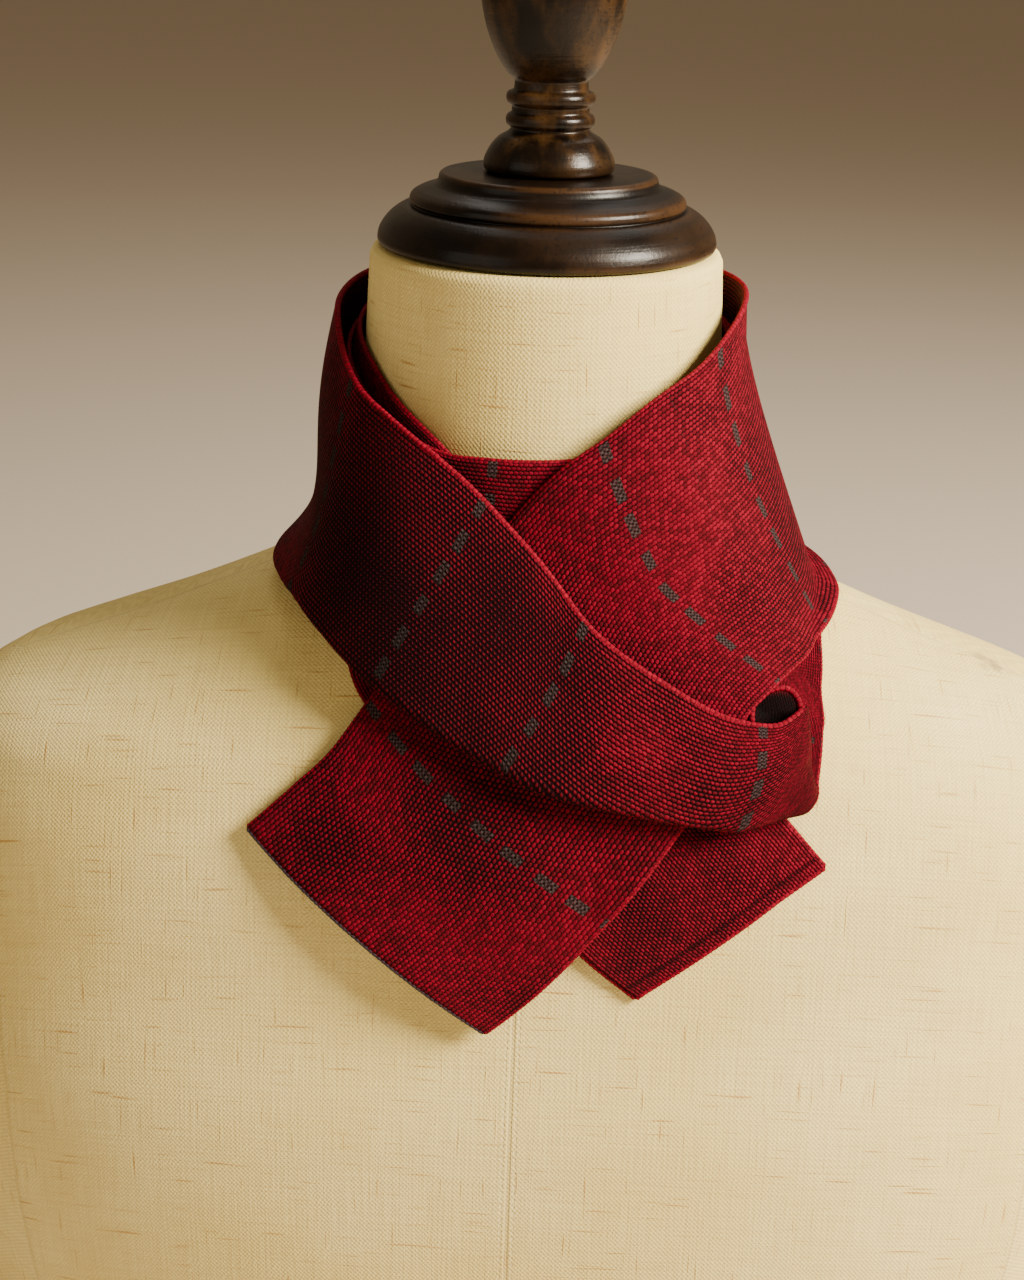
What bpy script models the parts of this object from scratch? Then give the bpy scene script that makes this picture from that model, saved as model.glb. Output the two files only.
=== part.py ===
"""A narrow knitted scarf wound three times round the neck of a linen-covered dress form.

The form stands on its flat underside at z = 0, its neck axis on the z axis, and faces -Y.
Sizes are in millimetres in the tables and turned into metres when a mesh is made.
"Drop" is the distance below the rim of the neck, "turn" the angle round the neck axis,
0 at the front and 90 at the form's +X side, and "reach" the distance from that axis.
"""

import math

import bmesh
import bpy
import numpy as np

MM = 0.001

# Dress form
RIM_HEIGHT = 470.0
TORSO_SIDES = 48
EDGE_ROUND = 3.0

# Height by height: drop, half width, front and back depth, and how square the section is.
FORM_COLUMNS = ("drop", "half_width", "front", "back", "square")
FORM_ROWS = (
    (0, 62.0, 62.0, 62.0, 2.0),
    (60, 65.5, 66.0, 66.0, 2.0),
    (90, 68.0, 68.0, 68.0, 2.0),
    (104, 73.0, 73.0, 71.0, 2.0),
    (114, 84.0, 77.5, 75.5, 2.0),
    (126, 110.0, 83.5, 81.5, 2.0),
    (143, 150.0, 89.5, 88.0, 2.1),
    (156, 184.0, 94.0, 92.5, 2.25),
    (166, 208.0, 96.5, 94.5, 2.4),
    (178, 224.0, 99.5, 97.0, 2.5),
    (204, 233.0, 107.0, 99.5, 2.6),
    (250, 236.0, 116.0, 102.0, 2.6),
    (300, 236.0, 127.0, 103.0, 2.6),
    (340, 234.0, 129.0, 103.0, 2.6),
    (400, 231.0, 124.0, 101.0, 2.6),
    (440, 228.0, 118.0, 99.0, 2.6),
    (470, 226.0, 114.0, 98.0, 2.6),
)
TORSO_RING_DROPS = (
    12, 40, 66, 84, 95, 104, 110, 116, 122, 128, 135, 142, 149, 156, 163, 172, 186,
    204, 226, 250, 275, 300, 322, 345, 370, 400, 430, 455,
)

# Turned wood: radius and height above the neck rim of each point of the outline.
WOOD_SIDES = 36
CAP_GAP = 0.3
CAP_OUTLINE = (
    (56.5, 0.0), (58.9, 0.6), (59.6, 2.2), (59.2, 4.6), (57.0, 8.5), (53.4, 11.8),
    (49.6, 13.6), (47.4, 13.9), (48.4, 15.2), (48.0, 16.9), (45.6, 18.6), (41.6, 20.0),
    (39.4, 20.9), (38.3, 22.6), (38.1, 23.8), (37.0, 24.8), (34.0, 25.1),
)
FINIAL_OUTLINE = (
    (21.4, 0.0), (22.6, 1.0), (22.8, 2.8), (21.2, 7.2), (18.0, 11.2), (14.0, 13.8),
    (13.5, 14.6), (15.1, 15.6), (15.4, 17.4), (15.0, 18.8), (13.4, 20.0), (13.4, 21.8),
    (15.0, 23.0), (15.4, 24.8), (15.0, 26.2), (12.8, 27.4), (12.6, 30.0), (14.8, 32.2),
    (17.6, 36.0), (20.9, 42.6), (23.2, 49.6), (24.5, 57.0), (24.8, 63.0), (23.6, 71.0),
    (20.2, 78.6), (14.6, 84.0), (7.0, 87.0),
)

# Scarf
WIDTH = 105.0
WALL = 1.8
SELVEDGE = 2.4
SEAM_GAP = 0.3
FOLD_RADIUS = 2.3
FOLD_TOP_GAP = 8.0
BEND_POINTS = 3
BACK_STEPS = np.array((0.5, 1.0))

# A row for each section across the cloth. The top edge is the one next to the neck. Belly
# bows the section out or in, most at peak, a share of the way down. Rest is the least
# distance it keeps from the form. Under is the share of the hidden width turned under.
CLOTH_COLUMNS = (
    "top_turn", "top_drop", "top_reach",
    "low_turn", "low_drop", "low_reach",
    "belly", "peak", "rest", "under",
)
# Hemmed tail at the lower right, up across the chest, round the left side to the back.
UNDER_TAIL_ROWS = (
    (46.5, 189, 141.0, 20.0, 235, 121.0, 0.0, 0.5, 1.7, 0),
    (43.0, 173, 129.0, 11.0, 219, 115.0, -2.0, 0.5, 1.7, 0),
    (37.0, 152, 113.0, 0.0, 197, 107.0, -3.5, 0.5, 1.7, 0),
    (29.0, 130, 94.0, -13.0, 174, 100.0, -4.0, 0.5, 1.7, 0),
    (16.0, 107, 76.0, -25.5, 152, 98.0, -4.0, 0.6, 1.7, 0),
    (-3.5, 84, 69.5, -34.5, 138, 99.0, -8.0, 0.6, 1.7, 0),
    (-24.5, 60, 68.0, -45.0, 122, 92.0, -8.0, 0.6, 1.7, 0),
    (-45.0, 46, 67.0, -62.0, 113, 86.5, -7.0, 0.7, 1.7, 0),
    (-66.0, 34, 66.2, -80.0, 111, 84.5, -6.5, 0.7, 1.7, 0),
    (-92.0, 27, 65.8, -100.0, 112, 84.5, -6.0, 0.7, 1.7, 0),
    (-120.0, 23, 65.4, -122.0, 117, 84.0, -5.0, 0.7, 1.7, 0),
    (-150.0, 21, 65.2, -150.0, 122, 84.0, -4.0, 0.6, 1.7, 0),
    (-180.0, 20, 65.1, -180.0, 124, 84.0, -4.0, 0.6, 1.7, 0),
)
# From the back round the right side, level across the throat, round the left to the back.
FIRST_TURN_ROWS = (
    (180.0, 20, 65.1, 180.0, 124, 84.0, -4.0, 0.6, 1.7, 0),
    (150.0, 21, 65.2, 150.0, 121, 83.0, -4.0, 0.6, 1.7, 0),
    (120.0, 24, 65.5, 120.0, 114, 84.0, -4.0, 0.6, 1.7, 0),
    (92.0, 30, 66.0, 94.0, 107, 82.0, -3.0, 0.6, 2.0, 0),
    (66.0, 40, 67.2, 72.0, 107, 84.0, -4.0, 0.6, 2.5, 0),
    (45.0, 48, 68.8, 53.0, 113, 89.0, -5.0, 0.6, 3.0, 0),
    (28.0, 54, 70.0, 36.0, 126, 94.5, -7.0, 0.6, 4.5, 0),
    (12.0, 57.5, 70.8, 19.0, 140, 95.5, -8.0, 0.6, 4.8, 0),
    (0.0, 58.3, 71.2, 4.0, 147, 96.0, -8.0, 0.6, 4.8, 0),
    (-12.0, 58.5, 71.4, -9.0, 145, 96.5, -8.0, 0.6, 4.8, 0),
    (-25.0, 58.5, 71.5, -23.0, 135, 96.5, -8.0, 0.6, 4.8, 0),
    (-40.0, 54, 71.2, -40.0, 123, 95.5, -7.0, 0.65, 4.8, 0),
    (-60.0, 45, 70.4, -60.0, 113, 91.0, -6.0, 0.7, 4.8, 0),
    (-90.0, 34, 69.6, -92.0, 110, 89.0, -6.0, 0.7, 4.8, 0),
    (-120.0, 28, 69.2, -120.0, 115, 87.5, -5.0, 0.7, 4.8, 0),
    (-150.0, 25, 68.8, -150.0, 123, 87.8, -4.0, 0.6, 4.8, 0),
    (-180.0, 24, 68.6, -180.0, 127, 88.5, -4.0, 0.6, 4.8, 0),
)
# From the back down the right side, round the drooping loop, up across the front as the
# broad band whose lower part is turned under, round the left side to the back.
LOOP_TURN_ROWS = (
    (180.0, 24, 68.6, 180.0, 127, 88.5, -4.0, 0.6, 4.8, 0),
    (150.0, 25, 68.8, 150.0, 125, 88.0, -4.0, 0.6, 4.8, 0),
    (120.0, 27, 69.0, 120.0, 119, 91.5, -4.0, 0.6, 4.8, 0),
    (96.0, 32, 69.2, 98.0, 114, 97.0, -4.0, 0.6, 4.8, 0),
    (78.0, 43, 70.6, 82.0, 116, 101.0, -6.0, 0.6, 4.8, 0),
    (64.0, 60, 73.5, 67.0, 124, 107.5, -7.0, 0.6, 4.8, 0),
    (51.0, 90, 81.0, 57.0, 135, 120.0, -4.0, 0.6, 4.8, 0),
    (43.5, 118, 95.0, 53.0, 145, 126.6, 3.0, 0.5, 4.0, 0),
    (40.5, 135, 104.0, 50.6, 151.5, 130.4, -4.0, 0.5, 2.5, 0),
    (41.5, 147, 108.0, 48.9, 157, 132.8, -3.0, 0.5, 2.5, 0),
    (43.3, 154.5, 116.0, 47.8, 161, 134.2, -1.0, 0.5, 2.5, 0),
    (46.3, 148.5, 125.0, 46.8, 163.5, 134.5, 0.5, 0.5, 6.0, 0),
    (48.5, 136.5, 126.0, 45.2, 166, 134.5, 1.5, 0.5, 8.0, 0),
    (46.0, 138.0, 126.5, 43.0, 168.3, 134.0, 3.0, 0.5, 11.0, 0.1),
    (41.5, 140, 124.0, 37.5, 171.5, 131.5, 4.0, 0.5, 14.0, 0.45),
    (34.5, 136, 114.0, 29.0, 170.5, 125.5, 4.0, 0.5, 15.5, 0.9),
    (24.7, 124, 100.0, 15.0, 165, 116.5, 3.5, 0.5, 16.0, 1.0),
    (13.2, 109, 89.5, 2.0, 158, 111.5, 3.5, 0.5, 15.5, 1.0),
    (2.3, 89, 83.2, -11.0, 148, 108.5, 2.5, 0.5, 13.0, 1.0),
    (-11.0, 71, 79.0, -22.7, 137, 107.5, 2.0, 0.5, 12.0, 1.0),
    (-23.0, 59, 78.0, -32.5, 129, 106.5, 1.0, 0.5, 11.0, 1.0),
    (-38.0, 49, 77.2, -43.0, 121, 104.5, -1.0, 0.6, 10.0, 1.0),
    (-52.0, 42, 76.6, -55.0, 116, 101.5, -3.0, 0.65, 9.5, 1.0),
    (-64.0, 34, 75.2, -67.0, 114, 99.0, -6.0, 0.7, 9.0, 0.5),
    (-78.0, 24, 73.9, -82.0, 113, 97.5, -9.0, 0.75, 8.5, 0.1),
    (-98.0, 19, 73.2, -100.0, 112, 94.0, -7.5, 0.75, 8.0, 0),
    (-122.0, 16, 72.8, -122.0, 114, 91.0, -5.5, 0.7, 8.0, 0),
    (-150.0, 15, 72.2, -150.0, 117, 90.5, -4.0, 0.6, 8.0, 0),
    (-180.0, 15, 72.0, -180.0, 118, 90.5, -4.0, 0.6, 8.0, 0),
)
# From the back over the right side, down across the front, under the broad band, and out
# as the bound-off tail on the left of the chest.
OVER_TAIL_ROWS = (
    (180.0, 15, 72.0, 180.0, 118, 90.5, -4.0, 0.6, 8.0, 0),
    (150.0, 14, 71.8, 150.0, 117, 91.0, -4.0, 0.6, 8.0, 0),
    (120.0, 13, 71.6, 118.0, 117, 97.0, -4.0, 0.6, 8.0, 0),
    (92.0, 13.5, 71.2, 93.0, 118, 102.5, -5.0, 0.3, 7.8, 0),
    (77.0, 15.5, 71.4, 83.0, 119, 104.5, -5.5, 0.3, 7.8, 0),
    (64.0, 20, 72.2, 74.5, 120, 106.8, -5.0, 0.35, 7.8, 0),
    (48.0, 29.5, 73.0, 65.5, 122, 110.5, -4.0, 0.45, 7.8, 0),
    (32.0, 38, 74.0, 57.5, 125, 114.5, -4.0, 0.6, 7.8, 0),
    (19.0, 49, 74.8, 50.0, 128.5, 115.0, -6.0, 0.6, 7.8, 0),
    (7.0, 60, 75.2, 44.5, 132.5, 115.5, -8.0, 0.6, 7.8, 0),
    (-4.0, 76, 75.8, 39.5, 139, 115.5, -9.0, 0.6, 7.8, 0),
    (-15.0, 97, 81.0, 33.0, 157, 116.5, -8.0, 0.6, 8.2, 0),
    (-24.0, 119, 93.0, 22.0, 187, 116.5, -4.0, 0.6, 8.6, 0),
    (-30.5, 139, 104.0, 12.0, 213, 117.5, 0.0, 0.5, 6.0, 0),
    (-34.5, 156, 115.0, 4.5, 230, 119.0, 0.0, 0.5, 4.0, 0),
    (-38.5, 168, 124.0, 0.0, 239, 120.0, 0.0, 0.5, 3.0, 0),
    (-43.0, 183, 137.0, -4.5, 247, 122.0, 0.0, 0.5, 2.5, 0),
)
SECTIONS_PER_ROW = 3


def clear_scene():
    for obj in list(bpy.data.objects):
        bpy.data.objects.remove(obj, do_unlink=True)


def finish(name, base_colour, roughness):
    """A plain Principled material."""
    material = bpy.data.materials.new(name)
    material.use_nodes = True
    shader = material.node_tree.nodes["Principled BSDF"]
    shader.inputs["Base Color"].default_value = (*base_colour, 1.0)
    shader.inputs["Roughness"].default_value = roughness
    shader.inputs["Metallic"].default_value = 0.0
    return material


def smooth_curve(keys, values, at):
    """Cubic through the keys, with slopes limited so that it never overshoots a value."""
    keys = np.asarray(keys, float)
    values = np.asarray(values, float)
    at = np.clip(at, keys[0], keys[-1])
    steps = np.diff(keys)
    slopes = np.diff(values) / steps
    tangents = np.empty_like(values)
    tangents[0], tangents[-1] = slopes[0], slopes[-1]
    for k in range(1, len(keys) - 1):
        before, after = slopes[k - 1], slopes[k]
        if before * after <= 0:
            tangents[k] = 0.0
        else:
            w_before = 2 * steps[k] + steps[k - 1]
            w_after = steps[k] + 2 * steps[k - 1]
            tangents[k] = (w_before + w_after) / (w_before / before + w_after / after)
    k = np.clip(np.searchsorted(keys, at, side="right") - 1, 0, len(steps) - 1)
    t = (at - keys[k]) / steps[k]
    return (
        (2 * t**3 - 3 * t**2 + 1) * values[k]
        + (t**3 - 2 * t**2 + t) * steps[k] * tangents[k]
        + (3 * t**2 - 2 * t**3) * values[k + 1]
        + (t**3 - t**2) * steps[k] * tangents[k + 1]
    )


def flowing_curve(values, at):
    """Cubic through evenly spaced values that keeps its bend from one to the next."""
    values = np.asarray(values, float)
    padded = np.concatenate(
        ([2 * values[0] - values[1]], values, [2 * values[-1] - values[-2]])
    )
    k = np.clip(np.floor(at).astype(int), 0, len(values) - 2)
    t = at - k
    before, start, end, after = padded[k], padded[k + 1], padded[k + 2], padded[k + 3]
    return 0.5 * (
        2 * start
        + (end - before) * t
        + (2 * before - 5 * start + 4 * end - after) * t**2
        + (3 * start - before - 3 * end + after) * t**3
    )


def form_reach(turn, drop):
    """How far the form's surface lies from the neck axis, towards a turn in degrees."""
    table = dict(zip(FORM_COLUMNS, np.array(FORM_ROWS, float).T))
    section = {
        column: smooth_curve(table["drop"], table[column], drop)
        for column in FORM_COLUMNS[1:]
    }
    sideways = np.abs(np.sin(np.radians(turn)))
    forwards = np.cos(np.radians(turn))
    depth = np.where(forwards > 0, section["front"], section["back"])
    return (
        (sideways / section["half_width"]) ** section["square"]
        + (np.abs(forwards) / depth) ** section["square"]
    ) ** (-1.0 / section["square"])


def place(turn, drop, reach):
    """Millimetre coordinates of points given by turn, drop and reach."""
    angle, height, reach = np.broadcast_arrays(
        np.radians(turn), RIM_HEIGHT - np.asarray(drop, float), reach
    )
    return np.stack((reach * np.sin(angle), -reach * np.cos(angle), height), axis=-1)


def mesh_object(name, points, faces, material):
    """An object with smooth faces from millimetre points and lists of corner numbers."""
    mesh = bpy.data.meshes.new(name)
    mesh.from_pydata([tuple(point * MM) for point in points], [], faces)
    body = bmesh.new()
    body.from_mesh(mesh)
    bmesh.ops.recalc_face_normals(body, faces=body.faces)
    body.to_mesh(mesh)
    body.free()
    mesh.materials.append(material)
    mesh.shade_smooth()
    mesh.set_sharp_from_angle(angle=math.radians(50))
    obj = bpy.data.objects.new(name, mesh)
    bpy.context.scene.collection.objects.link(obj)
    return obj


def closed_loft(name, rings, material):
    """A solid through rings of equal point counts, closed flat at both ends."""
    sides = len(rings[0])
    points = np.concatenate(rings)
    faces = []
    for ring in range(len(rings) - 1):
        for side in range(sides):
            after = (side + 1) % sides
            near, far = ring * sides, (ring + 1) * sides
            faces.append((near + side, near + after, far + after, far + side))
    faces.append(tuple(reversed(range(sides))))
    faces.append(tuple(range(len(points) - sides, len(points))))
    return mesh_object(name, points, faces, material)


def torso(material):
    """The linen-covered neck and torso, flat at the neck rim and underneath."""
    turns = np.arange(TORSO_SIDES) * 360.0 / TORSO_SIDES
    rings = []
    for drop in reversed(TORSO_RING_DROPS):
        rings.append(place(turns, drop, form_reach(turns, float(drop))))
    # The underside and the rim end in a short round, so that no edge is sharp.
    foot = form_reach(turns, RIM_HEIGHT)
    bottom = [
        place(turns, RIM_HEIGHT, foot - 2.2 * EDGE_ROUND),
        place(turns, RIM_HEIGHT - 0.6 * EDGE_ROUND, foot - 0.6 * EDGE_ROUND),
        place(turns, RIM_HEIGHT - 2.2 * EDGE_ROUND, foot),
    ]
    rim = form_reach(turns, 0.0)
    top = [
        place(turns, EDGE_ROUND, rim),
        place(turns, 0.3 * EDGE_ROUND, rim - 0.3 * EDGE_ROUND),
        place(turns, 0.0, rim - EDGE_ROUND),
    ]
    return closed_loft("form_torso", bottom + rings + top, material)


def turned(name, outline, height, material):
    """A solid turned on a lathe, standing on a height above the neck rim."""
    turns = np.arange(WOOD_SIDES) * 360.0 / WOOD_SIDES
    rings = [
        place(turns, -height - rise, np.full(WOOD_SIDES, radius))
        for radius, rise in outline
    ]
    return closed_loft(name, rings, material)


def cloth_sections(rows, sections, across):
    """Points of the cloth's middle surface: sections along it, points across it."""
    table = np.array(rows, float)
    along = np.linspace(0.0, len(rows) - 1.0, sections)
    row = {
        column: flowing_curve(table[:, number], along)[:, None]
        for number, column in enumerate(CLOTH_COLUMNS)
    }
    surface = np.empty((sections, across, 3))
    fine = np.linspace(0.0, 1.0, 41)[None, :]
    turn = row["top_turn"] + (row["low_turn"] - row["top_turn"]) * fine
    drop = row["top_drop"] + (row["low_drop"] - row["top_drop"]) * fine
    reach = row["top_reach"] + (row["low_reach"] - row["top_reach"]) * fine
    bow = fine ** (math.log(0.5) / np.log(row["peak"]))
    reach = reach + row["belly"] * np.sin(np.pi * bow)
    slope = (form_reach(turn, drop + 1.0) - form_reach(turn, drop - 1.0)) / 2.0
    lift = row["rest"] * np.sqrt(1.0 + np.minimum(slope, 3.0) ** 2)
    reach = np.maximum(reach, form_reach(turn, drop) + lift)
    shown = place(turn, drop, reach)
    for number in range(sections):
        surface[number] = across_points(shown[number], row["under"][number, 0], across)
    return surface


def across_points(shown, under, across):
    """Points across one section, its hidden width folded up behind the shown part."""
    steps = np.linalg.norm(np.diff(shown, axis=0), axis=1)
    run = np.concatenate(([0.0], np.cumsum(steps)))
    length = run[-1] - under * (FOLD_RADIUS + WALL / 2)
    bend_length = math.pi * FOLD_RADIUS
    spare = min(WIDTH - length, length - FOLD_TOP_GAP + bend_length)
    folded = max(0.0, under * spare)
    # Points are spread evenly where nothing is folded, and gather at the bend where it is.
    front = across - BEND_POINTS - len(BACK_STEPS)
    bent = min(bend_length, 0.6 * folded)
    gathered = np.concatenate(
        (
            np.linspace(0.0, length, front),
            length + bent * np.arange(1, BEND_POINTS + 1) / BEND_POINTS,
            length + bent + (folded - bent) * BACK_STEPS,
        )
    )
    share = min(1.0, folded / bend_length)
    even = np.linspace(0.0, length + folded, across)
    inward = -shown[-1] * (1.0, 1.0, 0.0)
    inward /= np.linalg.norm(inward)
    down = shown[-1] - shown[-6]
    down /= np.linalg.norm(down)
    points = np.empty((across, 3))
    for number, w in enumerate(even + (gathered - even) * share):
        bend = min(max(w - length, 0.0) / FOLD_RADIUS, math.pi)
        back = max(w - length - bend_length, 0.0)
        base = min(w, length) - back
        middle = np.array([np.interp(base, run, shown[:, axis]) for axis in range(3)])
        points[number] = (
            middle
            + down * FOLD_RADIUS * math.sin(bend)
            + inward * FOLD_RADIUS * (1.0 - math.cos(bend))
        )
    return points


def cloth_wall(name, rows, across, material, open_start, open_end):
    """A wall of cloth round the middle surface, a little thicker at its long sides."""
    sections = SECTIONS_PER_ROW * (len(rows) - 1) + 1
    middle = cloth_sections(rows, sections, across)
    along = np.gradient(middle, axis=0)
    sideways = np.gradient(middle, axis=1)
    normal = np.cross(sideways, along)
    # Ends that meet the next stretch at the back are flat, half the seam gap short of it.
    for joins, end, inner in ((open_start, 0, 1), (open_end, -1, -2)):
        if joins:
            middle[end, :, 0] = np.sign(middle[inner, 0, 0]) * SEAM_GAP / 2
            normal[end, :, 0] = 0.0
    normal /= np.linalg.norm(normal, axis=2, keepdims=True)
    half = np.full(across, WALL / 2)
    half[[0, -1]] = WALL / 2 * 0.55
    half[[1, -2]] = SELVEDGE / 2
    outer = middle + normal * half[None, :, None]
    inner = middle - normal * half[None, :, None]
    points = np.concatenate((outer.reshape(-1, 3), inner.reshape(-1, 3)))
    back = sections * across

    def at(section, point):
        return section * across + point

    faces = []
    for s in range(sections - 1):
        for p in range(across - 1):
            quad = (at(s, p), at(s + 1, p), at(s + 1, p + 1), at(s, p + 1))
            faces.append(quad)
            faces.append(tuple(back + corner for corner in reversed(quad)))
        for p in (0, across - 1):
            faces.append((at(s, p), at(s + 1, p), back + at(s + 1, p), back + at(s, p)))
    for s in (0, sections - 1):
        for p in range(across - 1):
            faces.append((at(s, p), at(s, p + 1), back + at(s, p + 1), back + at(s, p)))
    return mesh_object(name, points, faces, material)


clear_scene()
linen = finish("linen", (0.72, 0.62, 0.42), 0.9)
walnut = finish("walnut", (0.035, 0.018, 0.012), 0.35)
red_knit = finish("red_knit", (0.30, 0.01, 0.02), 0.85)

torso(linen)
turned("form_neck_cap", CAP_OUTLINE, CAP_GAP, walnut)
turned("form_finial", FINIAL_OUTLINE, 2 * CAP_GAP + CAP_OUTLINE[-1][1], walnut)
cloth_wall("scarf_under_tail", UNDER_TAIL_ROWS, 9, red_knit, False, True)
cloth_wall("scarf_first_turn", FIRST_TURN_ROWS, 9, red_knit, True, True)
cloth_wall("scarf_loop_turn", LOOP_TURN_ROWS, 13, red_knit, True, True)
cloth_wall("scarf_over_tail", OVER_TAIL_ROWS, 10, red_knit, True, False)
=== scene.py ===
"""Looks of a knitted scarf wound round the neck of a linen-covered dress form.

The tables give millimetres. "Drop" is the distance below the rim of the form's neck, "turn"
the angle round the neck axis in degrees, 0 at the front and 90 at the form's +X side, and
"reach" the distance from that axis.
"""

import math

import bmesh
import bpy
import numpy as np
from mathutils import Matrix, Vector


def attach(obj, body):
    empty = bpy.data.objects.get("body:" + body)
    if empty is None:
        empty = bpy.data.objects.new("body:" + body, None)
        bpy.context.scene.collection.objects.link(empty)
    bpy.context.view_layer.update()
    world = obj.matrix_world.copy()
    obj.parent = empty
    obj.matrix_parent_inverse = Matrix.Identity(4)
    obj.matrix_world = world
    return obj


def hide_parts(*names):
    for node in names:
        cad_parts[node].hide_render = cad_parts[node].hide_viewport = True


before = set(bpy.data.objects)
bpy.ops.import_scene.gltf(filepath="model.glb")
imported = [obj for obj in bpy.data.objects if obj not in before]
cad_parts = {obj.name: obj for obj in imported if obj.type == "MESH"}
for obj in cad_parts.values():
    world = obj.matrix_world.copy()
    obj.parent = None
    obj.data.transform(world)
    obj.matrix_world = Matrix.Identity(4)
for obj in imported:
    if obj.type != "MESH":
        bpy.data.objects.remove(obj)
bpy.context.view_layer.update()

# The camera stands a little above the form's neck, almost straight in front of it, and looks
# down on the scarf through a 50 mm lens.
MM = 0.001
CAMERA_PLACE = (0.01657, -0.63278, 0.5817)
AIM = math.radians(2.27183)
PITCH = math.radians(22.5435)
ROLL = math.radians(1.5)

ahead = Vector((
    -math.sin(AIM) * math.cos(PITCH), math.cos(AIM) * math.cos(PITCH), -math.sin(PITCH),
))
level = ahead.cross(Vector((0, 0, 1))).normalized()
upward = level.cross(ahead)
right = level * math.cos(ROLL) + upward * math.sin(ROLL)
above = upward * math.cos(ROLL) - level * math.sin(ROLL)
lens = bpy.data.cameras.new("camera")
lens.lens = 50.0
lens.sensor_width = 36.0
lens.sensor_fit = "AUTO"
camera = bpy.data.objects.new("camera", lens)
facing = Matrix((right, above, -ahead)).transposed().to_4x4()
camera.matrix_world = Matrix.Translation(CAMERA_PLACE) @ facing
bpy.context.scene.collection.objects.link(camera)
bpy.context.scene.camera = camera

# The form is a padded shell in cream linen with tan slubs, cut as a front, a back and two side
# panels. Its neck, shoulders and chest are one surface, and it stands flat on its underside.
# The seams are pressed open and lie a little below the cloth beside them.
RIM_HEIGHT = 470.0
EDGE_ROUND = 3.0
FORM_TURNS = 160
FORM_COLUMNS = ("drop", "half_width", "front", "back", "square")
FORM_ROWS = (
    (0, 62.0, 62.0, 62.0, 2.0),
    (60, 65.5, 66.0, 66.0, 2.0),
    (90, 68.0, 68.0, 68.0, 2.0),
    (104, 73.0, 73.0, 71.0, 2.0),
    (114, 84.0, 77.5, 75.5, 2.0),
    (126, 110.0, 83.5, 81.5, 2.0),
    (143, 150.0, 89.5, 88.0, 2.1),
    (156, 184.0, 94.0, 92.5, 2.25),
    (166, 208.0, 96.5, 94.5, 2.4),
    (178, 224.0, 99.5, 97.0, 2.5),
    (204, 233.0, 107.0, 99.5, 2.6),
    (250, 236.0, 116.0, 102.0, 2.6),
    (300, 236.0, 127.0, 103.0, 2.6),
    (340, 234.0, 129.0, 103.0, 2.6),
    (400, 231.0, 124.0, 101.0, 2.6),
    (440, 228.0, 118.0, 99.0, 2.6),
    (470, 226.0, 114.0, 98.0, 2.6),
)
# Turn of the side seams at a drop: from the shoulder seam round the armhole, then straight down.
SIDE_SEAM = (
    (100, 89.2), (163, 88.8), (180, 86.3), (205, 80), (235, 71), (265, 66), (300, 64), (470, 64),
)
SHOULDER_END = 163.0
NECK_END = 85.0
NECK_BLEND = 30.0
NECK_RADIUS = 66.0
SPIN_RADIUS = 100.0
EVEN_SIDE = 63.0
THREAD_PITCH = 0.85
SEAM_STITCH = 2.6
STITCH_ROW_GAP = 2.2
SMUDGE_PLACE = (0.174, -0.001, 0.318)


def smooth_curve(keys, values, at):
    """Cubic through the keys, with slopes limited so that it never overshoots a value."""
    keys = np.asarray(keys, float)
    values = np.asarray(values, float)
    at = np.clip(at, keys[0], keys[-1])
    steps = np.diff(keys)
    slopes = np.diff(values) / steps
    tangents = np.empty_like(values)
    tangents[0], tangents[-1] = slopes[0], slopes[-1]
    for k in range(1, len(keys) - 1):
        before, after = slopes[k - 1], slopes[k]
        if before * after <= 0:
            tangents[k] = 0.0
        else:
            w_before = 2 * steps[k] + steps[k - 1]
            w_after = steps[k] + 2 * steps[k - 1]
            tangents[k] = (w_before + w_after) / (w_before / before + w_after / after)
    k = np.clip(np.searchsorted(keys, at, side="right") - 1, 0, len(steps) - 1)
    t = (at - keys[k]) / steps[k]
    return (
        (2 * t**3 - 3 * t**2 + 1) * values[k]
        + (t**3 - 2 * t**2 + t) * steps[k] * tangents[k]
        + (3 * t**2 - 2 * t**3) * values[k + 1]
        + (t**3 - t**2) * steps[k] * tangents[k + 1]
    )


def form_reach(turn, drop):
    """How far the form's surface lies from the neck axis, towards a turn in degrees."""
    table = dict(zip(FORM_COLUMNS, np.array(FORM_ROWS, float).T))
    section = {
        column: smooth_curve(table["drop"], table[column], drop)
        for column in FORM_COLUMNS[1:]
    }
    sideways = np.abs(np.sin(np.radians(turn)))
    forwards = np.cos(np.radians(turn))
    depth = np.where(forwards > 0, section["front"], section["back"])
    return (
        (sideways / section["half_width"]) ** section["square"]
        + (np.abs(forwards) / depth) ** section["square"]
    ) ** (-1.0 / section["square"])


def place(turn, drop, reach):
    """Millimetre coordinates of points given by turn, drop and reach."""
    angle, height, reach = np.broadcast_arrays(
        np.radians(turn), RIM_HEIGHT - np.asarray(drop, float), reach
    )
    return np.stack((reach * np.sin(angle), -reach * np.cos(angle), height), axis=-1)


def node(tree, kind, **settings):
    """A shader node of a kind, with its settings."""
    made = tree.nodes.new("ShaderNode" + kind)
    for setting, value in settings.items():
        setattr(made, setting, value)
    return made


def feed(tree, socket, value):
    """Link a socket to another node's output, or set it to a value."""
    if isinstance(value, bpy.types.NodeSocket):
        tree.links.new(value, socket)
    else:
        socket.default_value = value


def calc(tree, operation, *values):
    """The result of a Math node."""
    made = node(tree, "Math", operation=operation)
    for socket, value in zip(made.inputs, values):
        feed(tree, socket, value)
    return made.outputs["Value"]


def waves(tree, value, pitch):
    """Sine of a value, once up and down in a pitch."""
    return calc(tree, "SINE", calc(tree, "MULTIPLY", value, 2 * math.pi / pitch))


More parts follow.
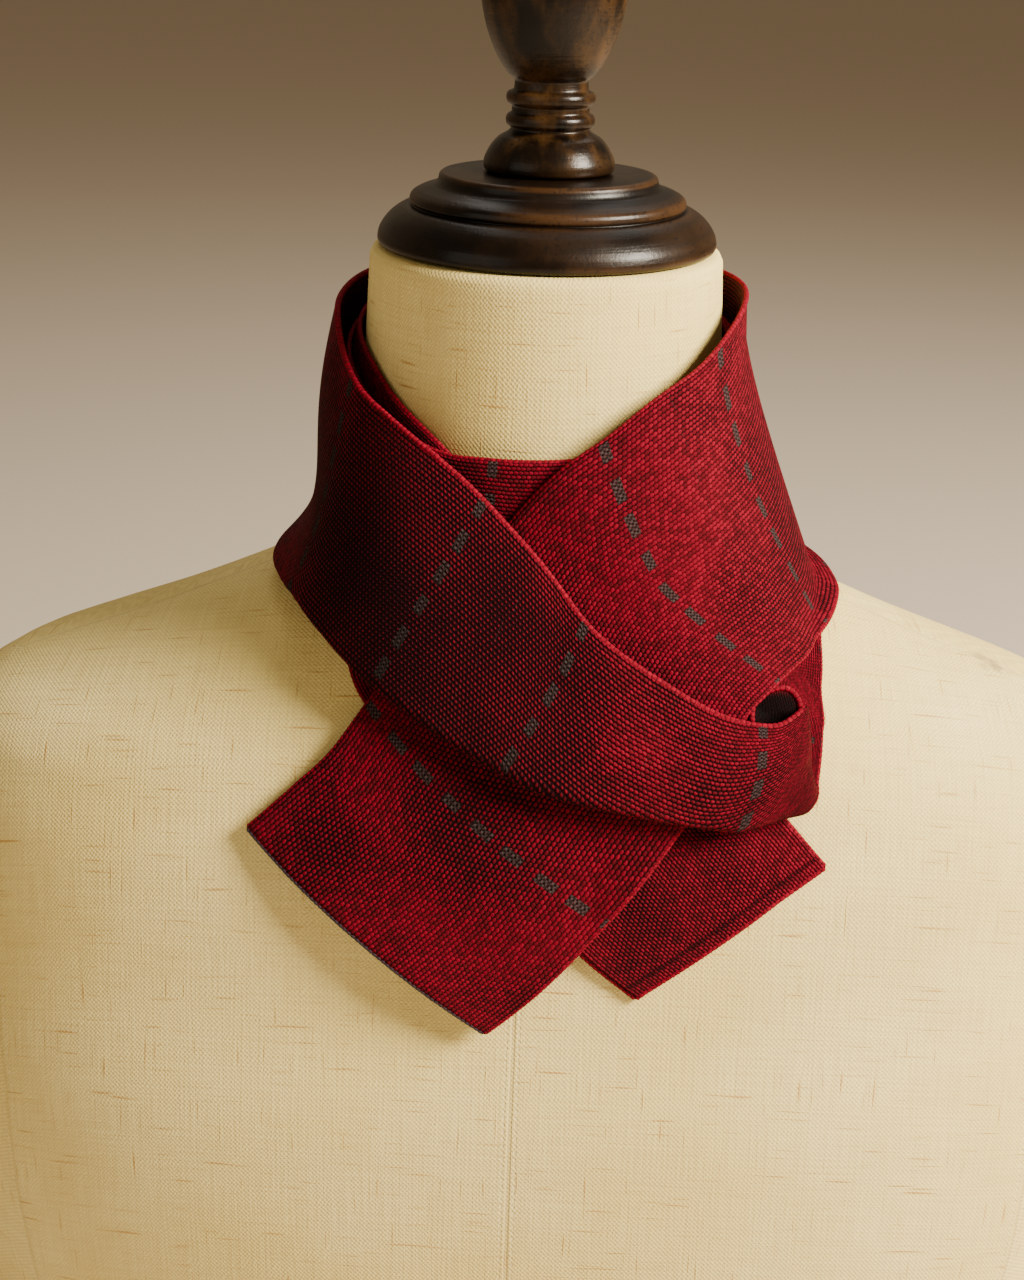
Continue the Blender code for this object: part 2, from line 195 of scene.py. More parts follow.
def fade(tree, value, start, end, low=0.0, high=1.0):
    """Smooth step from low to high while a value goes from start to end."""
    made = node(tree, "MapRange", interpolation_type="SMOOTHSTEP")
    for name, amount in (
        ("Value", value), ("From Min", start), ("From Max", end), ("To Min", low), ("To Max", high)
    ):
        feed(tree, made.inputs[name], amount)
    return made.outputs["Result"]


def tint(tree, factor, first, second):
    """Mix of two colours, each a value or a socket."""
    made = node(tree, "Mix", data_type="RGBA")
    feed(tree, made.inputs["Factor"], factor)
    for socket, colour in ((made.inputs[6], first), (made.inputs[7], second)):
        if isinstance(colour, tuple):
            colour = (*colour, 1.0)
        feed(tree, socket, colour)
    return made.outputs[2]


def grain_noise(tree, vector, stretch, scale, detail=2.0):
    """Noise on a coordinate that is stretched first."""
    mapping = node(tree, "Mapping")
    feed(tree, mapping.inputs["Vector"], vector)
    mapping.inputs["Scale"].default_value = stretch
    noise = node(tree, "TexNoise")
    feed(tree, noise.inputs["Vector"], mapping.outputs["Vector"])
    noise.inputs["Scale"].default_value = scale
    noise.inputs["Detail"].default_value = detail
    return noise.outputs["Fac"]


def raised(tree, height, distance, strength=1.0):
    """Normal of a surface raised by a height socket, at most by a distance in metres."""
    bump = node(tree, "Bump")
    bump.inputs["Strength"].default_value = strength
    bump.inputs["Distance"].default_value = distance
    feed(tree, bump.inputs["Height"], height)
    return bump.outputs["Normal"]


def new_finish(name):
    """A material, its node tree and its shader."""
    material = bpy.data.materials.new(name)
    material.use_nodes = True
    return material, material.node_tree, material.node_tree.nodes["Principled BSDF"]


def add_piece(name, mesh_bm, materials, node_name):
    """Make a piece's object from its bmesh, riding the body and replacing a node of the CAD."""
    mesh = bpy.data.meshes.new(name)
    mesh_bm.to_mesh(mesh)
    mesh_bm.free()
    for material in materials:
        mesh.materials.append(material)
    mesh.shade_smooth()
    piece = bpy.data.objects.new(name, mesh)
    bpy.context.scene.collection.objects.link(piece)
    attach(piece, "root")
    if node_name:
        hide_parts(node_name)
    return piece


def lathe(wood, line, steps):
    """Spin a line of vertices a full turn round the neck axis."""
    links = [wood.edges.new(pair) for pair in zip(line[:-1], line[1:])]
    bmesh.ops.spin(wood, geom=line + links, cent=(0, 0, 0), axis=(0, 0, 1), dvec=(0, 0, 0),
                   angle=2 * math.pi, steps=steps, use_merge=True)


def spread(even, side):
    """Turn of a column of the front half, so that an even one runs along the side seam."""
    return np.where(
        even < EVEN_SIDE,
        even * side / EVEN_SIDE,
        side + (even - EVEN_SIDE) * (90 - side) / (90 - EVEN_SIDE),
    )


linen, tree, shader = new_finish("cream_linen")
cloth_way = node(tree, "UVMap", uv_map="grain").outputs["UV"]
split = node(tree, "SeparateXYZ")
feed(tree, split.inputs["Vector"], cloth_way)
# Threads over and under one another, drawn off straight by a slow noise.
wander = calc(tree, "MULTIPLY", grain_noise(tree, cloth_way, (1, 1, 1), 0.12), 3.0)
warp, weft = (
    waves(tree, calc(tree, "ADD", split.outputs[axis], wander), 2 * THREAD_PITCH) for axis in "XY"
)
checks = calc(tree, "MULTIPLY", warp, weft)
thread_warp = grain_noise(tree, cloth_way, (1.1, 0.035, 1), 1.0, 3.0)
thread_weft = grain_noise(tree, cloth_way, (0.03, 1.1, 1), 1.0, 3.0)
threads = calc(tree, "ADD", thread_warp, thread_weft)
slub_weft = fade(tree, grain_noise(tree, cloth_way, (0.045, 0.75, 1), 1.0, 1.0), 0.63, 0.80)
slub_warp = fade(tree, grain_noise(tree, cloth_way, (0.75, 0.045, 1), 1.0, 1.0), 0.65, 0.82)
slubs = calc(tree, "MAXIMUM", slub_weft, slub_warp)
clouds = grain_noise(tree, cloth_way, (1, 1, 1), 0.012, 3.0)
cream = tint(tree, fade(tree, clouds, 0.35, 0.7), (0.83, 0.68, 0.235), (0.91, 0.775, 0.32))
shaded = tint(tree, 0.26, cream, (0.50, 0.34, 0.12))
cream = tint(tree, fade(tree, threads, 0.75, 1.25), shaded, cream)
cream = tint(tree, fade(tree, checks, -0.9, 0.9, 0.0, 0.40), cream, (0.50, 0.35, 0.12))
cream = tint(tree, calc(tree, "MULTIPLY", slubs, 0.85), cream, (0.50, 0.27, 0.07))
# A seam is a narrow sunk line with a row of small stitches on both sides.
seam_way = node(tree, "Attribute", attribute_name="seam").outputs["Fac"]
seam_gap = calc(tree, "ABSOLUTE", seam_way)
seam = fade(tree, seam_gap, 0.35, 1.1, 1.0, 0.0)
stitches = fade(tree, waves(tree, split.outputs["Y"], SEAM_STITCH), -0.3, 0.5)
beside_seam = calc(tree, "ABSOLUTE", calc(tree, "SUBTRACT", seam_gap, STITCH_ROW_GAP))
stitch_row = calc(tree, "MULTIPLY", fade(tree, beside_seam, 0.25, 0.6, 1.0, 0.0), stitches)
cream = tint(tree, calc(tree, "MULTIPLY", seam, 0.2), cream, (0.36, 0.25, 0.12))
cream = tint(tree, calc(tree, "MULTIPLY", stitch_row, 0.2), cream, (0.88, 0.78, 0.56))
# A small grey smudge from handling lies on the left shoulder.
object_way = node(tree, "TexCoord").outputs["Object"]
spot_place = node(tree, "Mapping")
feed(tree, spot_place.inputs["Vector"], object_way)
spot_place.inputs["Location"].default_value = [-way for way in SMUDGE_PLACE]
spot = node(tree, "VectorMath", operation="LENGTH")
feed(tree, spot.inputs[0], spot_place.outputs["Vector"])
near_spot = fade(tree, spot.outputs["Value"], 0.002, 0.013, 1.0, 0.0)
broken = fade(tree, grain_noise(tree, object_way, (1, 1, 1), 160.0), 0.35, 0.6)
smudge = calc(tree, "MULTIPLY", near_spot, broken)
cream = tint(tree, calc(tree, "MULTIPLY", smudge, 0.75), cream, (0.30, 0.23, 0.11))
feed(tree, shader.inputs["Base Color"], cream)
feed(tree, shader.inputs["Roughness"], fade(tree, threads, 0.6, 1.4, 0.95, 0.8))
shader.inputs["Specular IOR Level"].default_value = 0.2
weave = calc(tree, "ADD", calc(tree, "MULTIPLY", threads, 0.5), calc(tree, "MULTIPLY", slubs, 0.35))
height = calc(tree, "ADD", calc(tree, "MULTIPLY", checks, 0.22), weave)
height = calc(tree, "SUBTRACT", height, calc(tree, "MULTIPLY", seam, 0.6))
height = calc(tree, "SUBTRACT", height, calc(tree, "MULTIPLY", stitch_row, 0.5))
feed(tree, shader.inputs["Normal"], raised(tree, height, 0.0004, 0.8))

drops = np.concatenate((
    np.arange(6.0, 100.0, 5.0), np.arange(100.0, 180.0, 2.5), np.arange(180.0, 462.0, 5.0),
))
# Each step of the profile is its drop and how far it lies inside the full section.
profile = [(0.0, 14.0), (0.0, 3.0), (0.3 * EDGE_ROUND, 0.3 * EDGE_ROUND), (EDGE_ROUND, 0.0)]
profile += [(drop, 0.0) for drop in drops]
profile += [
    (RIM_HEIGHT - 2.2 * EDGE_ROUND, 0.0),
    (RIM_HEIGHT - 0.6 * EDGE_ROUND, 0.6 * EDGE_ROUND),
    (RIM_HEIGHT, 2.2 * EDGE_ROUND),
]
bm = bmesh.new()
verts = [bm.verts.new((0.0, -SPIN_RADIUS + inset, -drop)) for drop, inset in profile]
lathe(bm, verts, FORM_TURNS)
seam_layer = bm.verts.layers.float.new("seam")
start = np.array([vert.co[:] for vert in bm.verts])
falls = -start[:, 2]
insets = SPIN_RADIUS - np.hypot(start[:, 0], start[:, 1])
side = np.interp(falls, *np.array(SIDE_SEAM, float).T)
# The columns of the mesh are spread so that one of them runs along each seam.
even_turns = np.degrees(np.arctan2(start[:, 0], -start[:, 1]))
even = np.abs(even_turns)
turns = np.where(even > 90, 180 - spread(180 - even, side), spread(even, side))
turns *= np.sign(even_turns)
full = form_reach(turns, falls)
spots = place(turns, falls, full - insets)
gaps = np.stack((turns, np.abs(turns) - side, np.abs(turns) - 180 + side, np.abs(turns) - 180))
nearest = np.abs(gaps).argmin(axis=0)
distance = np.abs(np.radians(gaps[nearest, np.arange(len(turns))]) * full)
# Above the shoulders' ends only the shoulder seams and the back seam run on, up the neck.
upper = np.radians(np.minimum(np.abs(np.abs(turns) - 90), 180 - np.abs(turns))) * full
distance = np.where(falls < SHOULDER_END, upper, distance)
for vert, spot_mm, way in zip(bm.verts, spots, distance):
    vert.co = spot_mm * MM
    vert[seam_layer] = way
bmesh.ops.contextual_create(bm, geom=[edge for edge in bm.edges if edge.is_boundary])
bmesh.ops.recalc_face_normals(bm, faces=bm.faces)
grain = bm.loops.layers.uv.new("grain")
for face in bm.faces:
    face_turns = [turns[vert.index] for vert in face.verts]
    wraps = max(face_turns) - min(face_turns) > 180
    centre = face.calc_center_median()
    middle_turn = abs(math.degrees(math.atan2(centre.x, -centre.y)))
    face_side = side[face.verts[0].index]
    on_side = abs(middle_turn - 90) < 90 - face_side
    for loop in face.loops:
        vert = loop.vert
        turn = turns[vert.index] + (360.0 if wraps and turns[vert.index] < 0 else 0.0)
        drop = falls[vert.index]
        share = min(max((drop - NECK_END) / NECK_BLEND, 0.0), 1.0)
        across = vert.co.y if on_side else vert.co.x
        along_neck = math.radians(turn) * NECK_RADIUS
        if middle_turn < face_side:
            # The front panel's threads sink a little towards its sides.
            fall = drop + (-0.1 * drop - 0.6 * vert.co.y / MM - 35.0) * share
        else:
            # The other panels' threads follow the cloth down over the slope of the shoulder.
            fall = drop + 0.9 * float(np.interp(drop, (100, 172), (0, 90)))
        loop[grain].uv = (along_neck + (across / MM - along_neck) * share, fall)
add_piece("linen_form", bm, [linen], "form_torso")

# The neck is closed by a turned cap in three tiers, of walnut stained nearly black and waxed.
# It is one turning, screwed down from inside, and its edges are rubbed to a warmer brown.
CAP_GAP = 0.3
LATHE_STEP = 0.7
LATHE_TURNS = 96
CAP_OUTLINE = (
    (56.5, 0.0), (58.9, 0.6), (59.6, 2.2), (59.2, 4.6), (57.0, 8.5), (53.4, 11.8),
    (49.6, 13.6), (47.4, 13.9), (48.4, 15.2), (48.0, 16.9), (45.6, 18.6), (41.6, 20.0),
    (39.4, 20.9), (38.3, 22.6), (38.1, 23.8), (37.0, 24.8), (34.0, 25.1),
)

walnut, tree, shader = new_finish("waxed_walnut")
object_way = node(tree, "TexCoord").outputs["Object"]
figure = grain_noise(tree, object_way, (1.0, 0.16, 1.0), 60.0, 6.0)
pores = grain_noise(tree, object_way, (1.0, 0.05, 1.0), 900.0, 2.0)
rings = grain_noise(tree, object_way, (0.02, 0.02, 1.0), 1500.0, 2.0)
patches = grain_noise(tree, object_way, (1, 1, 1), 26.0, 4.0)
worn = node(tree, "Attribute", attribute_name="wear").outputs["Fac"]
brown = tint(tree, fade(tree, figure, 0.35, 0.68), (0.002, 0.0012, 0.0009), (0.008, 0.0038, 0.0016))
rubbed = calc(tree, "MULTIPLY", worn, fade(tree, patches, 0.32, 0.66))
brown = tint(tree, calc(tree, "MULTIPLY", rubbed, 0.5), brown, (0.075, 0.032, 0.009))
# On the finial, streaky light gold-brown patches are painted over the dark stain as a painted
# highlight.
upright = node(tree, "SeparateXYZ")
feed(tree, upright.inputs["Vector"], object_way)
finial_highlight_share = fade(tree, upright.outputs["Z"], 0.494, 0.505, 0.0, 0.62)
streaks = grain_noise(tree, object_way, (1.0, 1.0, 0.40), 110.0, 6.0)
painted_golden_highlight = calc(tree, "MULTIPLY", finial_highlight_share, fade(tree, streaks, 0.36, 0.74))
brown = tint(tree, painted_golden_highlight, brown, (0.085, 0.040, 0.012))
brown = tint(tree, fade(tree, pores, 0.56, 0.70, 0.0, 0.7), brown, (0.004, 0.002, 0.0015))
feed(tree, shader.inputs["Base Color"], brown)
feed(tree, shader.inputs["Roughness"], fade(tree, patches, 0.3, 0.75, 0.26, 0.42))
shader.inputs["Specular IOR Level"].default_value = 0.22
relief = calc(tree, "ADD", calc(tree, "MULTIPLY", rings, 0.5), calc(tree, "MULTIPLY", pores, -0.5))
feed(tree, shader.inputs["Normal"], raised(tree, relief, 0.00025, 0.5))


def run_along(points):
    """How far along a line of points each of them lies."""
    steps = np.linalg.norm(np.diff(points, axis=0), axis=1)
    return np.concatenate(([0.0], np.cumsum(steps)))


def turn_wood(name, outline, foot, node_name):
    """Turn an outline of radius and rise on the lathe, finely stepped, standing on a height."""
    outline = np.array(outline)
    run = run_along(outline)
    at = np.arange(0.0, run[-1], LATHE_STEP)
    fine = np.stack([smooth_curve(run, outline[:, axis], at) for axis in (0, 1)], axis=1)
    bend = np.zeros(len(fine))
    ahead_way = fine[2:] - fine[1:-1]
    behind_way = fine[1:-1] - fine[:-2]
    bend[1:-1] = behind_way[:, 0] * ahead_way[:, 1] - behind_way[:, 1] * ahead_way[:, 0]
    bend = np.convolve(bend, np.ones(3) / 3, mode="same")
    fine = np.concatenate(([(0.0, outline[0, 1])], fine, [outline[-1], (0.0, outline[-1, 1])]))
    bend = np.concatenate(([0.0], bend, [0.0, 0.0]))
    wood = bmesh.new()
    wear_layer = wood.verts.layers.float.new("wear")
    line = []
    for (radius, rise), sharp in zip(fine, bend):
        line.append(wood.verts.new((0.0, -radius * MM, (RIM_HEIGHT + foot + rise) * MM)))
        line[-1][wear_layer] = min(max(sharp * 9.0, 0.0), 1.0)
    lathe(wood, line, LATHE_TURNS)
    bmesh.ops.remove_doubles(wood, verts=wood.verts, dist=0.00001)
    bmesh.ops.recalc_face_normals(wood, faces=wood.faces)
    add_piece(name, wood, [walnut], node_name)


turn_wood("walnut_cap", CAP_OUTLINE, CAP_GAP, "form_neck_cap")

# The finial is the handle on the cap: a dome, a ringed stem and an urn-shaped knob, turned in
# one piece of the same walnut and glued into the cap.
FINIAL_OUTLINE = (
    (21.4, 0.0), (22.6, 1.0), (22.8, 2.8), (21.2, 7.2), (18.0, 11.2), (14.0, 13.8),
    (13.5, 14.6), (15.1, 15.6), (15.4, 17.4), (15.0, 18.8), (13.4, 20.0), (13.4, 21.8),
    (15.0, 23.0), (15.4, 24.8), (15.0, 26.2), (12.8, 27.4), (12.6, 30.0), (14.8, 32.2),
    (17.6, 36.0), (20.9, 42.6), (23.2, 49.6), (24.5, 57.0), (24.8, 63.0), (23.6, 71.0),
    (20.2, 78.6), (14.6, 84.0), (7.0, 87.0),
)
turn_wood("walnut_finial", FINIAL_OUTLINE, 2 * CAP_GAP + CAP_OUTLINE[-1][1], "form_finial")

# The scarf is one strip of fine birdseye knit, red stitches set between near-black ones, with
# lines of grey dashes across it. This first stretch is the hemmed tail on the chest, which
# runs up to the left and round that side of the neck to the back, under everything else.
WIDTH = 105.0
WALL = 1.8
FOLD_RADIUS = 2.3
FOLD_TOP_GAP = 8.0
JOIN_GAP = 0.02
STEPS_PER_ROW = 12
SECTION_POINTS = 81
SECTION_END_POINTS = 12
WALE = 1.55
COURSE = 1.75
DASH_PITCH = 13.1
DASH_START = 2.0
DASH_SHARE = 0.58
DASH_HALF_WIDTH = 1.75
HEM = 4.6
HEM_HALF_WIDTH = 0.8
SETTLING_ROUNDS = 70
# Row where the pocket's painted shade ends.
POCKET_LAST_ROW = 11.6
# A row is one section across the strip, from its neck-side edge (top) to its outer edge (low).
# Between them the cloth swells by the belly, most at the peak's share of the way, and keeps the
# rest's distance from the form. Under is how much of its hidden width is turned under.
CLOTH_COLUMNS = (
    "top_turn", "top_drop", "top_reach",
    "low_turn", "low_drop", "low_reach",
    "belly", "peak", "rest", "under",
)
UNDER_TAIL_ROWS = (
    (46.5, 189, 141.0, 20.0, 235, 121.0, 0.0, 0.5, 1.7, 0),
    (43.0, 173, 129.0, 11.0, 219, 115.0, -2.0, 0.5, 1.7, 0),
    (37.0, 152, 113.0, 0.0, 197, 107.0, -3.5, 0.5, 1.7, 0),
    (29.0, 130, 94.0, -13.0, 174, 100.0, -4.0, 0.5, 1.7, 0),
    (16.0, 107, 76.0, -25.5, 152, 98.0, -4.0, 0.6, 1.7, 0),
    (-3.5, 84, 69.5, -34.5, 138, 99.0, -8.0, 0.6, 1.7, 0),
    (-24.5, 60, 68.0, -45.0, 122, 92.0, -8.0, 0.6, 1.7, 0),
    (-45.0, 46, 67.0, -62.0, 113, 86.5, -7.0, 0.7, 1.7, 0),
    (-66.0, 34, 66.2, -80.0, 111, 84.5, -6.5, 0.7, 1.7, 0),
    (-92.0, 27, 65.8, -100.0, 112, 84.5, -6.0, 0.7, 1.7, 0),
    (-120.0, 23, 65.4, -122.0, 117, 84.0, -5.0, 0.7, 1.7, 0),
    (-150.0, 21, 65.2, -150.0, 122, 84.0, -4.0, 0.6, 1.7, 0),
    (-180.0, 20, 65.1, -180.0, 124, 84.0, -4.0, 0.6, 1.7, 0),
)
# A soft swell or hollow: row, millimetres from the neck-side edge, spread along in rows,
# spread across in millimetres, height in millimetres, and how far the stitches open there; the
# opening also darkens the yarn and the dashes as painted shade.
SWELL_COLUMNS = ("row", "from_edge", "rows_wide", "wide", "height", "open")
UNDER_TAIL_SWELLS = (
    (0.5, 32, 0.7, 18, 0.7, 0.2),
    (0.9, 75, 0.8, 20, -0.3, 0.6),
    (2.0, 40, 0.8, 30, 0.2, 0.5),
)


def new_group(name, takes, gives):
    """A shader node group with named inputs and outputs, and its two end nodes."""
    group = bpy.data.node_groups.new(name, "ShaderNodeTree")
    for socket_name, kind in takes:
        group.interface.new_socket(name=socket_name, in_out="INPUT", socket_type=kind)
    for socket_name in gives:
        group.interface.new_socket(
            name=socket_name, in_out="OUTPUT", socket_type="NodeSocketFloat")
    return group, group.nodes.new("NodeGroupInput"), group.nodes.new("NodeGroupOutput")


tree, group_in, group_out = new_group(
    "knit_stitches", (("Way", "NodeSocketVector"), ("Open", "NodeSocketFloat")),
    ("Stitch", "Height", "Shade", "Dash"),
)
knit_group = tree
split = node(tree, "SeparateXYZ")
feed(tree, split.inputs["Vector"], group_in.outputs["Way"])
uneven = grain_noise(tree, group_in.outputs["Way"], (1, 1, 1), 0.35, 2.0)
shift = calc(tree, "MULTIPLY", calc(tree, "SUBTRACT", uneven, 0.5), 0.9)
along_way = calc(tree, "ADD", split.outputs["X"], shift)
across_way = calc(tree, "ADD", split.outputs["Y"], calc(tree, "MULTIPLY", shift, 0.5))
wale = calc(tree, "DIVIDE", across_way, WALE)
wale_number = calc(tree, "FLOOR", wale)
wale_side = calc(tree, "SUBTRACT", calc(tree, "FRACT", wale), 0.5)
odd = calc(tree, "MULTIPLY", calc(tree, "MODULO", wale_number, 2.0), 0.5)
course = calc(tree, "ADD", calc(tree, "DIVIDE", along_way, COURSE), odd)
course_number = calc(tree, "FLOOR", course)
course_side = calc(tree, "SUBTRACT", calc(tree, "FRACT", course), 0.5)
cell = node(tree, "CombineXYZ")
feed(tree, cell.inputs["X"], wale_number)
feed(tree, cell.inputs["Y"], course_number)
chance = node(tree, "TexWhiteNoise", noise_dimensions="2D")
feed(tree, chance.inputs["Vector"], cell.outputs["Vector"])
# A stitch is a drop-shaped loop, wider towards one end, that shrinks where the knit opens.
taper = calc(tree, "ADD", 0.58, calc(tree, "MULTIPLY", course_side, 0.24))
reach_in = calc(tree, "SUBTRACT", 1.0, calc(tree, "MULTIPLY", group_in.outputs["Open"], 0.40))
radius = calc(tree, "MULTIPLY", taper, reach_in)
wide = calc(tree, "DIVIDE", wale_side, radius)
tall = calc(tree, "DIVIDE", course_side, calc(tree, "MULTIPLY", reach_in, 0.66))
squared = calc(tree, "ADD", calc(tree, "MULTIPLY", wide, wide), calc(tree, "MULTIPLY", tall, tall))
stitch = fade(tree, squared, 0.92, 0.36)
rib = calc(tree, "MULTIPLY", wale_side, wale_side)
rise = fade(tree, squared, 1.3, 0.0)
loop_height = calc(tree, "SUBTRACT", rise, calc(tree, "MULTIPLY", rib, 2.2))
dash_way = calc(tree, "ADD", calc(tree, "MULTIPLY", wale_number, WALE), DASH_START)
dash_way = calc(tree, "FRACT", calc(tree, "DIVIDE", dash_way, DASH_PITCH))
feed(tree, group_out.inputs["Stitch"], stitch)
feed(tree, group_out.inputs["Height"], loop_height)
feed(tree, group_out.inputs["Shade"], chance.outputs["Value"])
feed(tree, group_out.inputs["Dash"], calc(tree, "LESS_THAN", dash_way, DASH_SHARE))


def near_line(tree, value, half_width):
    """1 where a value lies within a half width of 0, and 0 elsewhere."""
    return calc(tree, "LESS_THAN", calc(tree, "ABSOLUTE", value), half_width)


def knit_finish(name, stitch_dark, stitch_light, ground, dashed):
    """A knit of coloured stitches on a dark ground, with grey dashes across its face."""
    material, knit_tree, knit_shader = new_finish(name)
    stitches_node = node(knit_tree, "Group", node_tree=knit_group)
    way = node(knit_tree, "UVMap", uv_map="stitches").outputs["UV"]
    feed(knit_tree, stitches_node.inputs["Way"], way)
    way_split = node(knit_tree, "SeparateXYZ")
    feed(knit_tree, way_split.inputs["Vector"], way)
    # Where the knit is open the stitches shrink, and the yarn and grey dashes are darkened as
    # painted shade.
    open_and_shade = node(knit_tree, "Attribute", attribute_name="open").outputs["Fac"]
    painted_lightness = fade(knit_tree, open_and_shade, 0.0, 1.0, 1.0, 0.55)
    slack = grain_noise(knit_tree, way, (1, 1, 1), 0.03, 2.0)
    open_and_shade = calc(knit_tree, "ADD", open_and_shade, fade(knit_tree, slack, 0.35, 0.7, -0.15, 0.35))
    feed(knit_tree, stitches_node.inputs["Open"], open_and_shade)
    yarn = tint(knit_tree, stitches_node.outputs["Shade"], stitch_dark, stitch_light)
    yarn = tint(knit_tree, painted_lightness, stitch_dark, yarn)
    shown = stitches_node.outputs["Stitch"]
    across_waves = waves(knit_tree, way_split.outputs["Y"], WALE)
    # The hem of the under tail is turned up and caught down by a row of small dark stitches.
    hem_row = near_line(
        knit_tree, calc(knit_tree, "SUBTRACT", way_split.outputs["X"], HEM), HEM_HALF_WIDTH)
    hem_row = calc(knit_tree, "MULTIPLY", hem_row, fade(knit_tree, across_waves, -0.3, 0.4))
    uncaught = calc(knit_tree, "SUBTRACT", 1.0, calc(knit_tree, "MULTIPLY", hem_row, 0.9))
    shown = calc(knit_tree, "MULTIPLY", shown, uncaught)
    face = tint(knit_tree, shown, ground, yarn)
    if dashed:
        line = node(knit_tree, "Attribute", attribute_name="line").outputs["Fac"]
        line = near_line(knit_tree, line, DASH_HALF_WIDTH)
        dash = calc(knit_tree, "MULTIPLY", line, stitches_node.outputs["Dash"])
        # In a dash the small stitches are grey and nearly black in turn, half as big as the red.
        along_waves = waves(knit_tree, way_split.outputs["X"], COURSE)
        small = calc(knit_tree, "MULTIPLY", along_waves, across_waves)
        mottle = grain_noise(knit_tree, way, (1, 1, 1), 0.9, 2.0)
        small = fade(knit_tree, calc(knit_tree, "ADD", small, mottle), -0.1, 0.9)
        grey = tint(knit_tree, small, (0.006, 0.003, 0.004), (0.050, 0.037, 0.037))
        # Where the knit is open the dash is darkened as painted shade.
        grey = tint(knit_tree, painted_lightness, (0.004, 0.002, 0.002), grey)
        face = tint(knit_tree, calc(knit_tree, "MULTIPLY", dash, 0.92), face, grey)
    # Inside the loop's pocket the knit is painted near-black as painted shade.
    pocket_shade = node(knit_tree, "Attribute", attribute_name="pocket_shade").outputs["Fac"]
    face = tint(knit_tree, calc(knit_tree, "MULTIPLY", pocket_shade, 0.96), face, (0.003, 0.0015, 0.0015))
    feed(knit_tree, knit_shader.inputs["Base Color"], face)
    feed(knit_tree, knit_shader.inputs["Roughness"], fade(knit_tree, shown, 0.0, 1.0, 0.95, 0.72))
    knit_shader.inputs["Specular IOR Level"].default_value = 0.08
    fibres = grain_noise(knit_tree, way, (1, 1, 1), 3.5, 3.0)
    lofted = calc(knit_tree, "ADD", stitches_node.outputs["Height"], calc(
        knit_tree, "MULTIPLY", fibres, 0.5))
    lofted = calc(knit_tree, "SUBTRACT", lofted, hem_row)
    feed(knit_tree, knit_shader.inputs["Normal"], raised(knit_tree, lofted, 0.0006, 0.9))
    return material


red_knit = knit_finish(
    "red_birdseye", (0.072, 0.0002, 0.0045), (0.185, 0.0004, 0.0125), (0.008, 0.0006, 0.0015), True,
)
dark_reverse = knit_finish(
    "dark_reverse", (0.035, 0.002, 0.004), (0.07, 0.003, 0.006), (0.008, 0.002, 0.003), False,
)


def flowing_curve(values, at):
    """Cubic through evenly spaced values that keeps its bend from one to the next."""
    values = np.asarray(values, float)
    padded = np.concatenate(
        ([2 * values[0] - values[1]], values, [2 * values[-1] - values[-2]])
    )
    k = np.clip(np.floor(at).astype(int), 0, len(values) - 2)
    t = at - k
    before, start, end, after = padded[k], padded[k + 1], padded[k + 2], padded[k + 3]
    return 0.5 * (
        2 * start
        + (end - before) * t
        + (2 * before - 5 * start + 4 * end - after) * t**2
        + (3 * start - before - 3 * end + after) * t**3
    )


def cloth_surface(rows, across):
    """Middle surface of a stretch, with each point's distance from the neck-side edge."""
    table = np.array(rows, float)
    sections = STEPS_PER_ROW * (len(rows) - 1) + 1
    along = np.linspace(0.0, len(rows) - 1.0, sections)
    row = {
        column: flowing_curve(table[:, number], along)[:, None]
        for number, column in enumerate(CLOTH_COLUMNS)
    }
    fine = np.linspace(0.0, 1.0, SECTION_POINTS)[None, :]
    turn = row["top_turn"] + (row["low_turn"] - row["top_turn"]) * fine
    drop = row["top_drop"] + (row["low_drop"] - row["top_drop"]) * fine
    reach = row["top_reach"] + (row["low_reach"] - row["top_reach"]) * fine
    bow = fine ** (math.log(0.5) / np.log(row["peak"]))
    reach = reach + row["belly"] * np.sin(np.pi * bow)
    slope = (form_reach(turn, drop + 1.0) - form_reach(turn, drop - 1.0)) / 2.0
    lift = row["rest"] * np.sqrt(1.0 + np.minimum(slope, 3.0) ** 2)
    reach = np.maximum(reach, form_reach(turn, drop) + lift)
    shown = place(turn, drop, reach)
    surface = np.empty((sections, across, 3))
    widths = np.empty((sections, across))
    for number in range(sections):
        surface[number], widths[number] = across_points(
            shown[number], row["under"][number, 0], across
        )
    return along, surface, widths


def points_at(at, run, points):
    """Points of a line, or directions along it, at distances along its run."""
    return np.stack([np.interp(at, run, points[:, axis]) for axis in range(3)], axis=1)


def across_points(shown, under, across):
    """Points across one section, its hidden width folded up behind the shown part."""
    run = run_along(shown)
    length = run[-1] - under * (FOLD_RADIUS + WALL / 2)
    bend_length = math.pi * FOLD_RADIUS
    spare = min(WIDTH - length, length - FOLD_TOP_GAP + bend_length)
    folded = max(0.0, under * spare)
    inward = -shown[-1] * (1.0, 1.0, 0.0)
    inward /= np.linalg.norm(inward)
    down = shown[-1] - shown[-SECTION_END_POINTS]
    down /= np.linalg.norm(down)
    w = np.linspace(0.0, length + folded, across)
    bend = np.clip((w - length) / FOLD_RADIUS, 0.0, math.pi)[:, None]
    back = np.maximum(w - length - bend_length, 0.0)
    base = np.minimum(w, length) - back
    middle = points_at(base, run, shown)
    points = middle + down * FOLD_RADIUS * np.sin(bend) + inward * FOLD_RADIUS * (1 - np.cos(bend))
    return points, w * WIDTH / (length + under * (WIDTH - length))


def laid_grid(bm, points):
    """A grid in a bmesh, laid on a table of points, with the table's numbers of each vertex."""
    count, across = points.shape[:2]
    bmesh.ops.create_grid(bm, x_segments=count - 1, y_segments=across - 1, size=1.0)
    numbers = {}
    for vert in bm.verts:
        s = round((vert.co.x + 1) / 2 * (count - 1))
        p = round((vert.co.y + 1) / 2 * (across - 1))
        numbers[vert] = (s, p)
        vert.co = points[s, p] * MM
    return numbers


